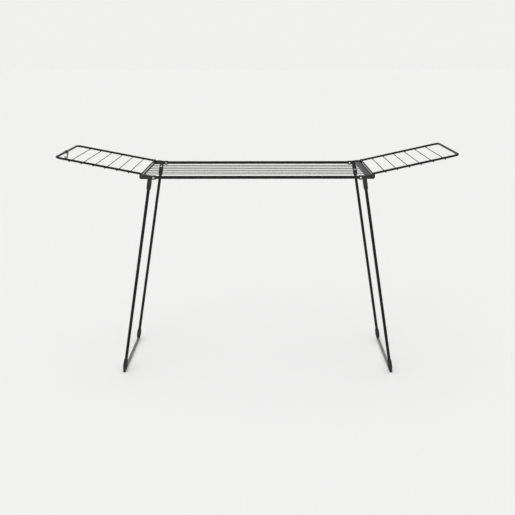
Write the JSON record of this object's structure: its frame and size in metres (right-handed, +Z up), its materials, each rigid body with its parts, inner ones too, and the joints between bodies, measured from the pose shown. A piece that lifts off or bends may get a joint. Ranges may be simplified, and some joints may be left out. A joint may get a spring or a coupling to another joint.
{
  "type": "clothes drying rack",
  "caption": "Folding clothes drying rack: a wire table on splayed leg frames, with hinged wings that open outwards at both ends.",
  "frame": {"origin": "on the floor, under the middle of the rack's outline with the wings open", "axes": "+X along the rack towards the right wing, +Y towards the back, +Z up"},
  "size_m": [1.8167, 0.5374, 1.0352],
  "materials": {
    "black_coated_steel": "satin powder coat, fine orange peel",
    "coated_wire": "satin powder coat on thin wire",
    "grey_coated_steel": "satin grey powder coat",
    "black_plastic": "matt moulded plastic, fine spark texture",
    "panel_plastic": "matt dark grey moulded plastic",
    "grey_plastic": "satin grey moulded plastic",
    "rivet_steel": "bright zinc plate"
  },
  "bodies": {
    "table": {"rail_front": "black_coated_steel", "rail_back": "black_coated_steel", "end_bar_left": "black_coated_steel", "end_bar_right": "black_coated_steel", "table_wire_1": "coated_wire", "table_wire_2": "coated_wire", "table_wire_3": "coated_wire", "table_wire_4": "coated_wire", "table_wire_5": "coated_wire", "table_wire_6": "coated_wire", "bracket_left_front": "black_plastic", "bracket_left_back": "black_plastic", "bracket_right_front": "black_plastic", "bracket_right_back": "black_plastic", "end_panel": "panel_plastic", "rail_rivets": "rivet_steel", "leg_pins": "rivet_steel"},
    "left_wing": {"wing_frame_left": "black_coated_steel", "hinge_bar_left": "black_coated_steel", "wing_wire_left_1": "coated_wire", "wing_wire_left_2": "coated_wire", "wing_wire_left_3": "coated_wire", "wing_wire_left_4": "coated_wire", "wing_wire_left_5": "coated_wire", "wing_wire_left_6": "coated_wire", "catch_sleeve": "black_plastic"},
    "right_wing": {"wing_frame_right": "black_coated_steel", "hinge_bar_right": "black_coated_steel", "wing_wire_right_1": "coated_wire", "wing_wire_right_2": "coated_wire", "wing_wire_right_3": "coated_wire", "wing_wire_right_4": "coated_wire", "wing_wire_right_5": "coated_wire", "wing_wire_right_6": "coated_wire"},
    "catch": {"catch_hook": "grey_plastic"},
    "left_leg": {"leg_tube_left_front": "black_coated_steel", "leg_socket_left_front": "black_plastic", "foot_cap_left_front": "black_plastic", "leg_tube_left_back": "black_coated_steel", "leg_socket_left_back": "black_plastic", "foot_cap_left_back": "black_plastic", "foot_bar_left": "grey_coated_steel"},
    "right_leg": {"leg_tube_right_front": "black_coated_steel", "leg_socket_right_front": "black_plastic", "foot_cap_right_front": "black_plastic", "leg_tube_right_back": "black_coated_steel", "leg_socket_right_back": "black_plastic", "foot_cap_right_back": "black_plastic", "foot_bar_right": "grey_coated_steel"}
  },
  "joints": [
    {"name": "left_wing_fold", "type": "hinge", "parent": "table", "child": "left_wing", "pos_m": [-0.5185, 0, 0.9458], "axis": [0, 1, 0], "range_deg": [0, 168]},
    {"name": "right_wing_fold", "type": "hinge", "parent": "table", "child": "right_wing", "pos_m": [0.5185, 0, 0.9458], "axis": [0, -1, 0], "range_deg": [0, 166.5]},
    {"name": "left_leg_fold", "type": "hinge", "parent": "table", "child": "left_leg", "pos_m": [-0.48298, 0, 0.921], "axis": [0, -1, 0], "range_deg": [0, 99.21]},
    {"name": "right_leg_fold", "type": "hinge", "parent": "table", "child": "right_leg", "pos_m": [0.48606, 0, 0.902], "axis": [0, 1, 0], "range_deg": [0, 99.21]},
    {"name": "catch_swing", "type": "hinge", "parent": "left_wing", "child": "catch", "pos_m": [-0.90124, -0.012, 1.0202], "axis": [0, 1, 0], "continuous": true}
  ]
}
